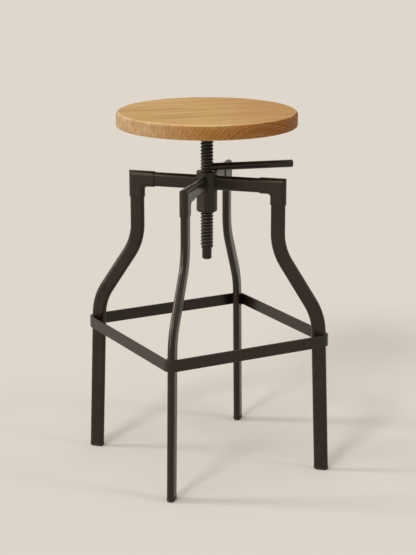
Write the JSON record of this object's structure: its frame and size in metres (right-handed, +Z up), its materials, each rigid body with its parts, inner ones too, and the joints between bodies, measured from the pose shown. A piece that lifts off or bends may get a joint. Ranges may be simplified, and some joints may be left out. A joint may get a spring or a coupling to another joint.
{
  "type": "height-adjustable bar stool",
  "caption": "Industrial bar stool: round oak seat that swivels on a threaded lift screw, turned by a side lever, on bent oval-tube legs joined by a flat-bar footrest.",
  "frame": {"origin": "on the floor, under the lift screw's axis", "axes": "+Z up along the lift screw; X and Y along the footrest's sides, with a leg on each diagonal; the lever points between +X and +Y, close to +Y"},
  "size_m": [0.3802, 0.3802, 0.75],
  "materials": {
    "oak": "satin lacquered natural oak",
    "black_steel": "satin black powder coat over steel",
    "black_castings": "satin black powder coat over cast elbows",
    "black_screw": "oiled black steel thread",
    "black_screws": "black oxide headless screws",
    "bare_steel": "bare machined steel",
    "zinc_screws": "zinc plated",
    "nylon": "natural nylon",
    "black_plastic": "moulded black plastic"
  },
  "bodies": {
    "frame": {"hub": "black_steel", "lift_nut": "bare_steel", "arm_bushes": "bare_steel", "elbow_screws": "black_screws", "footrest_ring": "black_steel", "arm_front_right": "black_steel", "arm_back_right": "black_steel", "arm_back_left": "black_steel", "arm_front_left": "black_steel", "elbow_front_right": "black_castings", "elbow_back_right": "black_castings", "elbow_back_left": "black_castings", "elbow_front_left": "black_castings", "leg_front_right": "black_steel", "leg_back_right": "black_steel", "leg_back_left": "black_steel", "leg_front_left": "black_steel", "foot_cap_front_right": "black_plastic", "foot_cap_back_right": "black_plastic", "foot_cap_back_left": "black_plastic", "foot_cap_front_left": "black_plastic"},
    "carrier": {"swivel_washer": "nylon"},
    "screw": {"lift_screw": "black_screw", "turn_lever": "black_steel", "screw_flange": "black_steel", "retaining_washer": "zinc_screws", "lock_nut": "zinc_screws"},
    "seat": {"seat_board": "oak", "seat_plate": "black_steel", "seat_screws": "zinc_screws"}
  },
  "joints": [
    {"name": "lift", "type": "slide", "parent": "frame", "child": "carrier", "axis": [0, 0, 1], "range_m": [0, 0.0981]},
    {"name": "screw_turn", "type": "hinge", "parent": "carrier", "child": "screw", "pos_m": [0, 0, 0.6332], "axis": [0, 0, 1], "range_deg": [0, 5040]},
    {"name": "seat_swivel", "type": "hinge", "parent": "carrier", "child": "seat", "pos_m": [0, 0, 0.72], "axis": [0, 0, 1], "continuous": true}
  ],
  "couplings": [
    {"joint": "lift", "follows": "screw_turn", "m_per_rad": 0.0011141}
  ]
}
